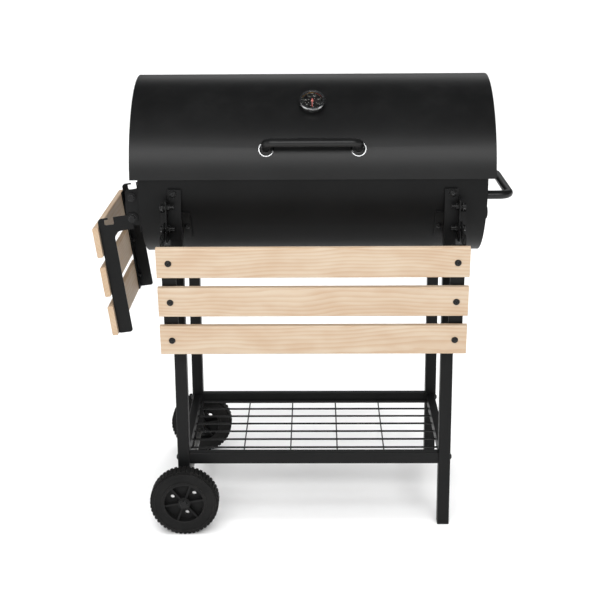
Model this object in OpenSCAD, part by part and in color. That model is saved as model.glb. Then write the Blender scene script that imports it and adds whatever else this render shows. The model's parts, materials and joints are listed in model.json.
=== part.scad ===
// Barrel charcoal grill on a wheeled cart, with a hinged lid and two folding slatted tables.
// X runs along the drum (right is +X), the front is -Y and Z is up.

/* [Drum] */
// Length of the lid over its end plates
lid_l = 727; // [718:1:735]
// Outer radius of the lid
lid_r = 188; // [187:0.5:189]
// Length of the bowl over its end plates
bowl_l = 696; // [690:1:700]
// Outer radius of the bowl
bowl_r = 185; // [184:0.5:185.5]
// Sheet thickness of the lid and the bowl
sheet = 1.5; // [1:0.1:1.8]
// Height of the drum axis above the ground
axis_z = 757; // [755:1:759]
// How far the bowl's rim reaches above the axis, inside the lid
rim_up = 10; // [6:1:12]
// Height of the lid's lower edge above the axis
lid_gap = 5; // [3:0.5:6]

/* [Stand] */
// Width of the square leg tube
leg_w = 25; // [24:0.5:26]
// Span of the legs along X, outside to outside
leg_span_x = 577; // [575:1:579]
// Span of the legs along Y, outside to outside
leg_span_y = 344; // [342:1:346]
// Wall thickness of the tubes
tube_t = 1.5; // [1.2:0.1:2]
// Height of the shelf rails
rail_h = 25; // [22:1:28]
// Depth of the shelf rails
rail_d = 18; // [16:1:20]
// Height of the underside of the shelf rails
rail_z = 140; // [130:1:150]
// Diameter of the shelf's long wires
wire_d = 4.2; // [3.6:0.1:4.4]
// Diameter of the wires that cross them
cross_wire_d = 3; // [2.4:0.1:3.4]

/* [Wheels] */
// Outer radius of a wheel
wheel_r = 72.2; // [70:0.1:74]
// Width of a wheel
wheel_w = 34; // [30:1:36]
// Tread lugs round a wheel
lugs = 48; // [36:4:60]
// Diameter of the axle
axle_d = 10; // [8:0.5:12]

/* [Tables] */
// Angle that the hanging tables lean in at the bottom
hang_tilt = 8; // [6:0.5:10]
// Height of a table slat
slat_h = 63; // [60:1:65]
// Thickness of a table slat
slat_t = 12; // [10:0.5:14]
// Gap between two slats
slat_gap = 21; // [19:1:22]
// Length of the front table's slats
front_slat_l = 608; // [600:1:612]
// Length of the side table's slats
side_slat_l = 340; // [334:1:344]
// Spacing of the pivot bolt and the hook bolt
hook_rise = 44; // [43:0.5:45]

/* [Handles and thermometer] */
// Diameter of the handle tubes
grip_d = 18; // [16:0.5:20]
// Distance between the lid handle's feet
lid_grip_l = 183; // [180:1:190]
// How far the lid handle's centre line stands off the lid
lid_grip_out = 45; // [40:1:50]
// Distance between the side handle's feet
side_grip_l = 210; // [200:1:220]
// Diameter of the thermometer's bezel
thermo_d = 52; // [50:1:54]

/* [Hidden] */
$fn = 96;
eps = 0.01;

black = [0.10, 0.10, 0.11];
dark = [0.16, 0.16, 0.17];
steel = [0.72, 0.72, 0.74];
pine = [0.90, 0.82, 0.70];

// Working clearances: a running fit on the radius, and the gap between moving faces
run = 0.05;
face_gap = 0.4;
hole_play = 0.2;

// Drum
lid_x = lid_l / 2;
bowl_x = bowl_l / 2;
bowl_in_r = bowl_r - sheet;
lid_in_r = lid_r - sheet;
end_flange = 9;

// Screws: head radius, head height, shank radius, nut radius, nut height
head_r = 6;
head_h = 3.5;
shank_r = 3;
nut_r = 5.5;
nut_h = 4;
socket_r = 2.3;

// Stand
leg_x = (leg_span_x - leg_w) / 2;
leg_y = (leg_span_y - leg_w) / 2;
saddle_t = 2.5;
saddle_w = 60;
saddle_from = 20;
saddle_to = 42;
saddle_screw_a = 31;
saddle_screw_dx = 22;
cap_h = 14;
cap_t = 3;
cap_play = 0.1;
left_leg_bottom = 58;
rail_cz = rail_z + rail_h / 2;

// Wheels
wheel_x = -273;
wheel_y0 = leg_span_y / 2 + 11;
hub_r = 42.5;
axle_r = axle_d / 2;

// Tables: the pivot bolt of each and the plates that carry it
front_pivot = [-204, 667];
side_pivot = [-365, 677];
bolt_r = 4;
arm_t = 2.5;
arm_x = 293.5;
arm_y = 157.5;
arm_end = 238;
arm_in = 42;
arm_out = 71;
arm_fillet = 16;
first_slat = 7;
hook_slot = [-58, -38.5];
hook_slot_z = [-7, 4.5];
slot_w = hook_slot[1] - hook_slot[0];
hook_mouth = 11.5;
flange_w = 28;
plate_t = 2.5;
lobe_r = 12;
slat_bolt_in = 15.5;

// Front table bracket: the middle and the size of its plate, and the reach of its flange
front_plate_at = [-184, 683];
front_plate = [64, 90];
front_flange_x = 262;
front_flange_z = [640, 743];
bracket_flange_y = 188;
top_screw_z = 734;
bracket_screw_x = 278;
leg_bolt_z = 648;

// Side table bracket: its flat on the bowl's end, and the plate that stands out from it
side_flat_y = [129, 157];
side_flat_z = [648, 756];
side_plate_at = [-363, 699];
side_plate = [30, 74];
side_plate_y = arm_y - face_gap - plate_t - 0.1;
side_screw_y = 143;
side_screw_z = 747;

// Lid hinges
hinge_y = 196;
hinge_z = 765;
hinge_x = 230;
hinge_w = 44;
hinge_pin_r = 2.5;
knuckle_r = 5;
knuckle_mid = 16;

// Lid handle and thermometer, each on a radius of the lid at its own angle above the horizontal
grip_a = 20;
thermo_a = 50;
thermo_base = 4;
thermo_h = 13;

// Side handle and damper on the right end plate
side_grip_z = 710;
side_grip_x = 405;
side_bend = 23;
damper_y = -8;
damper_z = 650;
damper_r = 43;
vent_r = 10;
vent_c = 28;

// Grates
grate_z = 744;
grate_half_y = 175;
grate_rod = 6;
bar_d = 4.5;
coal_z = 640;
coal_half_y = 128;

// The origin is at the middle of the overall box, on the ground
slat_round = 2.5;
slat_corner = [arm_out + slat_t - slat_round, first_slat + slat_round];
tilt_out = slat_corner[0] * cos(hang_tilt) - slat_corner[1] * sin(hang_tilt) + slat_round;
axle_nut_h = 5.6;
x_low = side_pivot[0] - tilt_out;
x_high = side_grip_x + grip_d / 2;
y_low = front_pivot[0] - tilt_out;
y_high = wheel_y0 + wheel_w + face_gap + axle_nut_h;
centre = [(x_low + x_high) / 2, (y_low + y_high) / 2];

module place() translate([-centre[0], -centre[1], 0]) children();

// A YZ outline extruded along X from x0 over a length
module along_x(x0, length) translate([x0, 0, 0]) rotate([90, 0, 90]) linear_extrude(length) children();

// An XZ outline extruded along Y from y0 over a length
module along_y(y0, length)
    translate([0, y0 + length, 0]) rotate([90, 0, 0]) linear_extrude(length) children();

module both_x() for (m = [0, 1]) mirror([m, 0, 0]) children();
module both_y() for (m = [0, 1]) mirror([0, m, 0]) children();

// The drum axis as the centre of what follows, in a YZ outline and in space
module at_axis_2d() translate([0, axis_z]) children();
module drum(r, half) translate([-half, 0, axis_z]) rotate([0, 90, 0]) cylinder(r = r, h = 2 * half);

// A frame on the drum's surface: local Z is the radius at an angle above the front horizontal
module on_drum(x, angle, r)
    translate([x, 0, axis_z]) rotate([90 - angle, 0, 0]) translate([0, 0, r]) children();

module rounded(w, h, r) {
    square([w - 2 * r, h], center = true);
    square([w, h - 2 * r], center = true);
    for (x = [-1, 1], y = [-1, 1]) translate([x * (w / 2 - r), y * (h / 2 - r)]) circle(r, $fn = 48);
}

// Part of a ring between two angles, in degrees anticlockwise from the first axis
module ring_sector(r0, r1, a0, a1) {
    reach = r1 * 1.2;
    intersection() {
        difference() {
            circle(r1);
            circle(r0);
        }
        polygon([[0, 0], [reach * cos(a0), reach * sin(a0)],
            [reach * cos((a0 + a1) / 2) * 1.1, reach * sin((a0 + a1) / 2) * 1.1],
            [reach * cos(a1), reach * sin(a1)]]);
    }
}

module box_tube_x(x0, x1, cy, cz, w, h) along_x(x0, x1 - x0) difference() {
    translate([cy, cz]) rounded(w, h, 2);
    translate([cy, cz]) rounded(w - 2 * tube_t, h - 2 * tube_t, 0.8);
}

module box_tube_y(y0, y1, cx, cz, w, h) along_y(y0, y1 - y0) difference() {
    translate([cx, cz]) rounded(w, h, 2);
    translate([cx, cz]) rounded(w - 2 * tube_t, h - 2 * tube_t, 0.8);
}

// A bolt with its head on the plane Z = 0 and its shank going down, with a nut below the grip
module bolt(grip, r = shank_r, hr = head_r, hh = head_h, nr = nut_r, nh = nut_h) {
    difference() {
        rotate_extrude() polygon([[0, hh], [hr * 0.55, hh], [hr * 0.9, hh * 0.62], [hr, 0], [r, 0],
            [r, -grip - nh - 2], [0, -grip - nh - 2]]);
        translate([0, 0, hh - 1.8]) cylinder(r = socket_r, h = 3, $fn = 6);
    }
    translate([0, 0, -grip - nh]) cylinder(r = nr, h = nh, $fn = 6);
}

// ---- Bowl ----

// The bowl's outline below its rim
module below_rim(r) intersection() {
    circle(r);
    translate([-r - 1, -r - 1]) square([2 * r + 2, r + 1 + rim_up]);
}

module saddle_screw_sites() for (sx = [-1, 1], sy = [0, 1], dx = [-1, 1])
    mirror([0, sy, 0])
        on_drum(sx * leg_x + dx * saddle_screw_dx, -saddle_screw_a, bowl_r + saddle_t) children();

module hinge_bowl_sites() for (sx = [-1, 1], dx = [-1, 1])
    mirror([0, 1, 0]) on_drum(sx * hinge_x + dx * 13, -9, bowl_r + saddle_t) children();

module bracket_screw_sites() for (sx = [-1, 1])
    translate([sx * bracket_screw_x, -bracket_flange_y - plate_t, top_screw_z])
        rotate([90, 0, 0]) children();

module side_bracket_sites() both_y()
    translate([-bowl_x - plate_t, side_screw_y, side_screw_z]) rotate([0, -90, 0]) children();

module side_handle_sites() both_y()
    translate([bowl_x - sheet, side_grip_l / 2, side_grip_z]) rotate([0, -90, 0]) children();

module drill(r = shank_r + hole_play, h = 30)
    translate([0, 0, -h / 2]) cylinder(r = r, h = h, $fn = 32);

module bowl_trough() place() color(black) difference() {
    along_x(-bowl_x + sheet, bowl_l - 2 * sheet) at_axis_2d() difference() {
        below_rim(bowl_r);
        circle(bowl_in_r);
    }
    saddle_screw_sites() drill();
    hinge_bowl_sites() drill();
    bracket_screw_sites() drill();
}

module bowl_end() {
    along_x(bowl_x - sheet, sheet) at_axis_2d() below_rim(bowl_r);
    along_x(bowl_x - sheet - end_flange, end_flange) at_axis_2d() difference() {
        below_rim(bowl_in_r);
        circle(bowl_in_r - sheet);
    }
}

module bowl_end_left() place() color(black) difference() {
    mirror([1, 0, 0]) bowl_end();
    side_bracket_sites() drill();
}

module vent_holes(turn) for (i = [0:2])
    rotate([0, 0, turn + 120 * i]) translate([vent_c, 0, 0]) children();

// The damper's axis, local Z pointing out along +X
module at_damper() translate([bowl_x, damper_y, damper_z]) rotate([0, 90, 0]) children();

module bowl_end_right() place() color(black) difference() {
    bowl_end();
    at_damper() vent_holes(0) cylinder(r = vent_r, h = 10, center = true);
    at_damper() cylinder(r = 3 + hole_play, h = 10, center = true);
    side_handle_sites() drill();
}

// ---- Grates ----

ledge_w = 16;
ledge_t = 3;

// Angle bars across the ends and a flat across the middle, notched round the side bracket's nuts
module grate_ledges() place() color(dark) difference() {
    intersection() {
        drum(bowl_in_r - sheet - run, bowl_x - sheet);
        union() {
            both_x() translate([bowl_x - sheet - ledge_w, -bowl_r, grate_z - ledge_t])
                cube([ledge_w, 2 * bowl_r, ledge_t]);
            both_x() translate([bowl_x - sheet - ledge_t, -bowl_r, grate_z - ledge_w])
                cube([ledge_t, 2 * bowl_r, ledge_w - ledge_t]);
            translate([-ledge_w, -bowl_r, grate_z - ledge_t])
                cube([2 * ledge_w, 2 * bowl_r, ledge_t]);
        }
    }
    side_bracket_sites() drill(r = nut_r + 1);
}

// A rod grate: a rectangular frame of rods with bars across it
module grate(x0, x1, half_y, z, pitch) {
    cz = z + grate_rod / 2;
    for (y = [-half_y, half_y]) translate([x0, y, cz]) rotate([0, 90, 0])
        cylinder(d = grate_rod, h = x1 - x0);
    for (x = [x0, x1]) {
        translate([x, -half_y, cz]) rotate([-90, 0, 0]) cylinder(d = grate_rod, h = 2 * half_y);
        for (y = [-half_y, half_y]) translate([x, y, cz]) sphere(d = grate_rod, $fn = 48);
    }
    count = floor((x1 - x0) / pitch);
    step = (x1 - x0) / count;
    for (i = [1:count - 1]) translate([x0 + i * step, -half_y, cz]) rotate([-90, 0, 0])
        cylinder(d = bar_d, h = 2 * half_y, $fn = 32);
}

module cooking_grate() grate(6, bowl_x - 12, grate_half_y, grate_z, 19);
module cooking_grate_right() place() color(dark) cooking_grate();
module cooking_grate_left() place() color(dark) mirror([1, 0, 0]) cooking_grate();

module charcoal_grate() place() color(dark)
    grate(-bowl_x + 20, bowl_x - 20, coal_half_y, coal_z, 26);

module charcoal_supports() place() color(dark) intersection() {
    drum(bowl_in_r, bowl_x - sheet - end_flange - 4);
    for (x = [-bowl_x + 30, 0, bowl_x - 30]) translate([x - 10, -bowl_r, coal_z - ledge_t])
        cube([20, 2 * bowl_r, ledge_t]);
}

// ---- Legs ----

module leg(left, sy) {
    bottom = left ? left_leg_bottom : cap_t;
    cx = left ? -leg_x : leg_x;
    out = left ? -1 : 1;
    difference() {
        translate([cx, sy * leg_y, bottom]) difference() {
            linear_extrude(700) rounded(leg_w, leg_w, 2.5);
            translate([0, 0, -1]) linear_extrude(702) rounded(leg_w - 2 * tube_t, leg_w - 2 * tube_t, 1);
        }
        drum(bowl_r + saddle_t, bowl_x);
        translate([cx, sy * leg_y, rail_cz]) rotate([0, 90, 0])
            cylinder(r = shank_r + hole_play, h = 2 * leg_w, center = true, $fn = 32);
        if (left) translate([wheel_x, sy * leg_y, wheel_r]) rotate([90, 0, 0])
            cylinder(r = axle_r + run, h = 2 * leg_w, center = true);
        if (sy < 0) translate([cx + out * leg_w / 2, -leg_y, leg_bolt_z]) rotate([0, 90, 0])
            cylinder(r = shank_r + hole_play, h = leg_w, center = true, $fn = 32);
    }
}

module leg_front_left() place() color(black) leg(true, -1);
module leg_rear_left() place() color(black) leg(true, 1);
module leg_front_right() place() color(black) leg(false, -1);
module leg_rear_right() place() color(black) leg(false, 1);

// Hollow plugs pushed into the right legs, each with a sole as wide as the tube
module foot_caps() place() color(dark) both_y() translate([leg_x, leg_y, 0]) {
    plug_w = leg_w - 2 * (tube_t + cap_play);
    linear_extrude(cap_t) rounded(leg_w, leg_w, 2.5);
    translate([0, 0, cap_t - eps]) linear_extrude(cap_h) difference() {
        rounded(plug_w, plug_w, 1);
        rounded(plug_w - 4, plug_w - 4, 1);
    }
}

module leg_saddles() place() color(black) difference() {
    for (sx = [-1, 1]) along_x(sx * leg_x - saddle_w / 2, saddle_w) at_axis_2d() for (m = [0, 1])
        mirror([m, 0]) ring_sector(bowl_r, bowl_r + saddle_t, -saddle_to, -saddle_from);
    saddle_screw_sites() drill();
}

// Screws that hold the saddles, the hinges and the table brackets to the bowl and the legs
module frame_screws() place() color(steel) {
    saddle_screw_sites() bolt(saddle_t + sheet + 0.3);
    hinge_bowl_sites() bolt(saddle_t + sheet + 0.3, hr = 5);
    bracket_screw_sites() bolt(plate_t + 7, hr = 7.5, hh = 4);
    side_bracket_sites() bolt(plate_t + sheet, hr = 7.5, hh = 4);
    for (sx = [-1, 1]) translate([sx * (leg_span_x / 2 + plate_t), -leg_y, leg_bolt_z])
        rotate([0, sx * 90, 0]) bolt(plate_t + tube_t);
}

// ---- Lower shelf ----

rail_len = leg_x - leg_w / 2;

module shelf_rail_front() place() color(black)
    box_tube_x(-rail_len, rail_len, -leg_y, rail_cz, rail_d, rail_h);
module shelf_rail_rear() place() color(black)
    box_tube_x(-rail_len, rail_len, leg_y, rail_cz, rail_d, rail_h);

side_rail_len = leg_y - leg_w / 2;

module shelf_side_rails() place() color(black)
    for (x = [-leg_x, leg_x]) box_tube_y(-side_rail_len, side_rail_len, x, rail_cz, rail_d, rail_h);

module shelf_wire_grid() place() color(dark) {
    x_end = leg_x - rail_d / 2;
    y_end = leg_y - rail_d / 2;
    low = rail_z + 3.5;
    weld = 0.3;
    for (i = [0:7]) translate([-x_end, (i - 3.5) * 41, low + (cross_wire_d + wire_d) / 2 - weld])
        rotate([0, 90, 0]) cylinder(d = wire_d, h = 2 * x_end, $fn = 32);
    for (i = [0:3]) translate([(i - 1.5) * 101, -y_end, low]) rotate([-90, 0, 0])
        cylinder(d = cross_wire_d, h = 2 * y_end, $fn = 32);
}

module rail_bolts() place() color(steel) for (sx = [-1, 1], y = [-leg_y, leg_y])
    translate([sx * leg_span_x / 2, y, rail_cz]) rotate([0, sx * 90, 0]) bolt(leg_w);

// ---- Axle and wheels ----

axle_half = wheel_y0 + wheel_w + 3;

module axle() place() color(steel) translate([wheel_x, 0, wheel_r]) rotate([90, 0, 0])
    cylinder(r = axle_r, h = 2 * axle_half, center = true);

module axle_spacers() place() color(dark) both_y()
    translate([wheel_x, leg_span_y / 2, wheel_r]) rotate([-90, 0, 0]) difference() {
        cylinder(r = 9, h = wheel_y0 - leg_span_y / 2 - face_gap);
        translate([0, 0, -1]) cylinder(r = axle_r, h = 20);
    }

module axle_nuts() place() color(dark) both_y()
    translate([wheel_x, wheel_y0 + wheel_w + face_gap, wheel_r]) rotate([-90, 0, 0]) difference() {
        union() {
            cylinder(r = 9, h = 1.2);
            cylinder(r = 7.5, h = axle_nut_h, $fn = 6);
        }
        translate([0, 0, -1]) cylinder(r = axle_r, h = 3.6);
    }

lug_depth = 2.6;
function lug_outline() = [for (i = [0:lugs - 1], p = [[-0.28, 1], [0.28, 1], [0.36, 0], [0.64, 0]])
    let (a = -90 + (i + p[0]) * 360 / lugs, r = wheel_r - (1 - p[1]) * lug_depth) [r * cos(a), r * sin(a)]];

shoulder = 4;
shoulder_drop = 5;
sidewall_step = 1.5;

// A wheel's own frame: axle along Z, inner face at Z = 0
module tyre() difference() {
    union() {
        translate([0, 0, shoulder]) linear_extrude(wheel_w - 2 * shoulder) polygon(lug_outline());
        cylinder(r = wheel_r - shoulder_drop, h = wheel_w);
    }
    translate([0, 0, -1]) cylinder(r = hub_r, h = wheel_w + 2);
    for (z = [-1, wheel_w - sidewall_step]) translate([0, 0, z]) difference() {
        cylinder(r = wheel_r - shoulder_drop - 5, h = sidewall_step + 1);
        translate([0, 0, -1]) cylinder(r = hub_r + 5, h = sidewall_step + 3);
    }
}

recess = 14;
boss_r = 13;
rim_t = 1.2;
rib_w = 4;
rib_inset = 2.5;

// A thin web with ribs joins the boss to the rim, open on both faces
module hub() difference() {
    union() {
        difference() {
            cylinder(r = hub_r, h = wheel_w);
            for (z = [-1, wheel_w - recess]) translate([0, 0, z])
                cylinder(r = hub_r - rim_t, h = recess + 1);
        }
        cylinder(r = boss_r, h = wheel_w);
        intersection() {
            for (i = [0:5]) rotate([0, 0, 10 + 60 * i]) translate([0, -rib_w / 2, rib_inset])
                cube([hub_r, rib_w, wheel_w - 2 * rib_inset]);
            cylinder(r = hub_r - rim_t / 2, h = wheel_w);
        }
    }
    translate([0, 0, -1]) cylinder(r = axle_r + run, h = wheel_w + 2);
    for (i = [0:2]) rotate([0, 0, 40 + 120 * i]) translate([27, 0, -1])
        cylinder(r = 4.5, h = wheel_w + 2, $fn = 48);
}

module at_wheel(front) mirror([0, front ? 0 : 1, 0]) translate([wheel_x, -wheel_y0, wheel_r])
    rotate([90, 0, 0]) children();

module front_tyre() place() color(dark) at_wheel(true) tyre();
module front_hub() place() color(dark) at_wheel(true) hub();
module rear_tyre() place() color(dark) at_wheel(false) tyre();
module rear_hub() place() color(dark) at_wheel(false) hub();

// ---- Side handle ----

module side_handle() place() color(black) {
    turn_x = side_grip_x - side_bend;
    turn_y = side_grip_l / 2 - side_bend;
    translate([0, 0, side_grip_z]) {
        translate([side_grip_x, 0, 0]) rotate([90, 0, 0])
            cylinder(d = grip_d, h = 2 * turn_y, center = true);
        both_y() {
            translate([turn_x, turn_y, 0])
                rotate_extrude(angle = 90) translate([side_bend, 0]) circle(d = grip_d);
            translate([bowl_x, side_grip_l / 2, 0]) rotate([0, 90, 0])
                cylinder(d = grip_d, h = turn_x - bowl_x);
            translate([bowl_x, side_grip_l / 2, 0]) rotate([0, 90, 0]) difference() {
                cylinder(r = 19, h = 3);
                translate([0, 0, -1]) cylinder(r = 5, h = 1);
            }
        }
    }
}

module side_handle_bolts() place() color(steel) side_handle_sites() {
    cylinder(r = 7, h = 4, $fn = 6);
    translate([0, 0, -sheet]) cylinder(r = shank_r, h = sheet);
}

// ---- Air damper on the right end ----

damper_t = 1.5;
damper_boss = 3;
knob_profile = [[0, 0], [9, 0], [9, 3], [15, 6], [16.5, 8.5], [16.5, 16], [14.5, 19], [10, 20.3],
    [0, 20.5]];

module damper_disc() place() color(dark) at_damper() translate([0, 0, face_gap]) difference() {
    union() {
        cylinder(r = damper_r, h = damper_t);
        cylinder(r = 8, h = damper_t + damper_boss);
    }
    vent_holes(60) translate([0, 0, -1]) cylinder(r = vent_r, h = 10);
    translate([0, 0, -1]) cylinder(r = 3 + run, h = 10);
}

module damper_knob() place() color(black) at_damper()
    translate([0, 0, face_gap + damper_t + damper_boss]) difference() {
        rotate_extrude() polygon(knob_profile);
        translate([0, 0, -1]) cylinder(r = 3 + run, h = 13);
    }

module damper_pin() place() color(steel) at_damper() {
    translate([0, 0, -sheet - 3]) cylinder(r = 6, h = 3);
    translate([0, 0, -sheet]) cylinder(r = 3, h = sheet + face_gap + damper_t + damper_boss + 10);
}

// ---- Table brackets and bolts ----

// The plate that carries the front table's two bolts lies against the leg's outer face
module front_bracket_plate() difference() {
    along_x(leg_span_x / 2, plate_t) difference() {
        translate(front_plate_at) rounded(front_plate[0], front_plate[1], 8);
        for (z = [0, hook_rise]) translate(front_pivot + [0, z]) circle(bolt_r + run);
        translate([-leg_y, leg_bolt_z]) circle(shank_r + hole_play, $fn = 32);
    }
    drum(bowl_r + saddle_t, bowl_x);
}

// The flange is screwed to the bowl through a pad shaped to the bowl's wall
module front_bracket_flange() difference() {
    union() {
        translate([front_flange_x, -bracket_flange_y - plate_t, front_flange_z[0]])
            cube([leg_span_x / 2 - front_flange_x + eps, plate_t, front_flange_z[1] - front_flange_z[0]]);
        translate([bracket_screw_x - 9, -bracket_flange_y - eps, top_screw_z - 8]) cube([18, 14, 16]);
    }
    drum(bowl_r, bowl_x);
    translate([bracket_screw_x, -bracket_flange_y, top_screw_z]) rotate([90, 0, 0]) drill();
}

module front_table_brackets() place() color(black) both_x() {
    front_bracket_plate();
    front_bracket_flange();
}

module side_table_brackets() place() color(black) both_y() difference() {
    union() {
        translate([-bowl_x - plate_t, side_flat_y[0], side_flat_z[0]])
            cube([plate_t, side_flat_y[1] - side_flat_y[0], side_flat_z[1] - side_flat_z[0]]);
        along_y(side_plate_y, plate_t) difference() {
            translate(side_plate_at) rounded(side_plate[0], side_plate[1], 7);
            for (z = [0, hook_rise]) translate(side_pivot + [0, z]) circle(bolt_r + run);
        }
    }
    translate([-bowl_x + eps, 120, 600]) cube([40, 60, 200]);
    translate([-bowl_x - plate_t, side_screw_y, side_screw_z]) rotate([0, -90, 0]) drill();
}

module table_bolt(grip) {
    cylinder(r = 8.5, h = 1.2);
    translate([0, 0, 1.2 - eps]) cylinder(r = 6.5, h = 4.8, $fn = 6);
    translate([0, 0, -grip - 14]) cylinder(r = bolt_r, h = grip + 14 + eps);
    translate([0, 0, -grip - 5]) cylinder(r = 6.5, h = 5, $fn = 6);
}

// A washer keeps the front arm off its bracket
module pivot_washer(h) difference() {
    cylinder(r = 8.5, h = h);
    translate([0, 0, -1]) cylinder(r = bolt_r, h = h + 2);
}

module table_bolts() place() color(steel) {
    both_x() translate([leg_span_x / 2 + plate_t, front_pivot[0], front_pivot[1]]) rotate([0, 90, 0])
        pivot_washer(arm_x - leg_span_x / 2 - plate_t - face_gap);
    for (z = [0, hook_rise]) {
        both_x() translate([arm_x + arm_t + face_gap, front_pivot[0], front_pivot[1] + z])
            rotate([0, 90, 0]) table_bolt(arm_x + arm_t + face_gap - leg_span_x / 2);
        both_y() translate([side_pivot[0], arm_y + arm_t + face_gap, side_pivot[1] + z]) rotate([-90, 0, 0])
            table_bolt(arm_t + 2 * face_gap + plate_t + 0.1);
    }
}

// ---- Lid hinges ----

module at_hinge_2d() translate([hinge_y, hinge_z]) children();

module lower_leaf_2d(knuckle) difference() {
    union() {
        at_axis_2d() ring_sector(bowl_r, bowl_r + saddle_t, -14, -2.5);
        if (knuckle) {
            polygon([[186, 740], [186.5, 750], [191.4, 766], [198, 761], [188.5, 738]]);
            at_hinge_2d() circle(knuckle_r, $fn = 48);
        }
    }
    at_hinge_2d() circle(hinge_pin_r + run, $fn = 48);
}

module upper_leaf_2d(knuckle) difference() {
    union() {
        at_axis_2d() ring_sector(lid_r, lid_r + saddle_t, 3.6, 14);
        if (knuckle) {
            polygon([[188.6, 768.8], [187.9, 779], [190.2, 779], [198.5, 766.6], [194, 762.7]]);
            at_hinge_2d() circle(knuckle_r, $fn = 48);
        }
    }
    at_hinge_2d() circle(hinge_pin_r + run, $fn = 48);
}

module hinge_lower_leaves() place() color(black) difference() {
    for (s = [-1, 1]) translate([s * hinge_x, 0, 0]) {
        along_x(-hinge_w / 2, hinge_w) lower_leaf_2d(false);
        both_x() along_x(knuckle_mid / 2 + face_gap, (hinge_w - knuckle_mid) / 2 - face_gap)
            lower_leaf_2d(true);
    }
    hinge_bowl_sites() drill();
}

module lid_hinge_sites() for (sx = [-1, 1], dx = [-1, 1])
    mirror([0, 1, 0]) on_drum(sx * hinge_x + dx * 14, 10.5, lid_r + saddle_t) children();

module hinge_upper_leaves() place() color(black) difference() {
    for (s = [-1, 1]) translate([s * hinge_x, 0, 0]) {
        along_x(-hinge_w / 2, hinge_w) upper_leaf_2d(false);
        along_x(-knuckle_mid / 2, knuckle_mid) upper_leaf_2d(true);
    }
    lid_hinge_sites() drill();
}

module hinge_pins() place() color(steel) for (s = [-1, 1]) translate([s * hinge_x, hinge_y, hinge_z])
    rotate([0, 90, 0]) {
        cylinder(r = hinge_pin_r, h = hinge_w + 3, center = true, $fn = 48);
        for (z = [-hinge_w / 2 - 1.8, hinge_w / 2 + 0.3]) translate([0, 0, z])
            cylinder(r = 4, h = 1.5, $fn = 48);
    }

// ---- Lid ----

module above_edge(r) intersection() {
    circle(r);
    translate([-r - 1, lid_gap]) square([2 * r + 2, r + 1]);
}

module at_handle_feet() for (s = [-1, 1]) on_drum(s * lid_grip_l / 2, grip_a, lid_r) children();
module at_thermo() on_drum(0, thermo_a, lid_r) children();

// The lid's round surface under a part that stands on it, in the part's own frame
module lid_cut(play) translate([0, 0, -lid_r]) rotate([0, 90, 0])
    cylinder(r = lid_r + play, h = 60, center = true, $fn = 360);

module lid_shell() place() color(black) difference() {
    along_x(-lid_x + sheet, lid_l - 2 * sheet) at_axis_2d() difference() {
        above_edge(lid_r);
        circle(lid_in_r);
    }
    at_handle_feet() drill();
    at_thermo() drill(r = 5 + hole_play);
    lid_hinge_sites() drill();
}

module lid_end() {
    along_x(lid_x - sheet, sheet) at_axis_2d() above_edge(lid_r);
    along_x(lid_x - sheet - 8, 8) at_axis_2d() difference() {
        above_edge(lid_in_r);
        circle(lid_in_r - sheet);
    }
}

module lid_end_right() place() color(black) lid_end();
module lid_end_left() place() color(black) mirror([1, 0, 0]) lid_end();

grip_bend = 16;
grip_lean = 8;
foot_z = 2.6;
foot_r = 13.2;
ring_r = 15.3;

// The feet stand square on the lid, and the tube leans up from them
module lid_handle() place() color(black) on_drum(0, grip_a, lid_r) difference() {
    half = lid_grip_l / 2;
    leg_from = foot_z + 3;
    union() {
        rotate([-grip_lean, 0, 0]) {
            translate([0, 0, lid_grip_out]) rotate([0, 90, 0])
                cylinder(d = grip_d, h = 2 * (half - grip_bend), center = true);
            both_x() {
                translate([half - grip_bend, 0, lid_grip_out - grip_bend]) rotate([90, 0, 0])
                    rotate_extrude(angle = 90) translate([grip_bend, 0]) circle(d = grip_d);
                translate([half, 0, leg_from])
                    cylinder(d = grip_d, h = lid_grip_out - grip_bend - leg_from);
            }
        }
        both_x() translate([half, 0, 0]) rotate_extrude() polygon([[0, foot_z], [foot_r, foot_z],
            [foot_r, foot_z + 2.5], [foot_r - 1, foot_z + 4], [grip_d / 2, foot_z + 6],
            [0, foot_z + 6]]);
    }
    both_x() translate([half, 0, foot_z - 1]) cylinder(r = shank_r, h = 17, $fn = 32);
}

// Bright rings under the handle's feet, shaped to the lid
module handle_washers() place() color(steel) at_handle_feet() difference() {
    translate([0, 0, -2]) cylinder(r = ring_r, h = foot_z + 2);
    lid_cut(2 * run);
    translate([0, 0, -3]) cylinder(r = shank_r + hole_play, h = 10, $fn = 32);
}

module lid_screws() place() color(steel) {
    at_handle_feet() translate([0, 0, -sheet - 0.4]) {
        translate([0, 0, -3.5]) cylinder(r = 6.5, h = 3.5, $fn = 6);
        cylinder(r = shank_r - eps, h = 15, $fn = 32);
    }
    lid_hinge_sites() bolt(saddle_t + sheet + 0.3, hr = 5);
}

// ---- Thermometer ----

bezel_r = thermo_d / 2 + 0.4;
case_r = thermo_d / 2 - 1.5;
dial_z = thermo_base + 6;
needle_z = dial_z + 1.4;
lens_z = thermo_base + thermo_h - 3.2;

module thermo_case() place() color(steel) at_thermo() translate([0, 0, thermo_base]) difference() {
    cylinder(r = case_r, h = thermo_h - 2);
    translate([0, 0, 2]) cylinder(r = case_r - 1.2, h = thermo_h);
    translate([0, 0, -1]) cylinder(r = 3, h = 4, $fn = 48);
}

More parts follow.
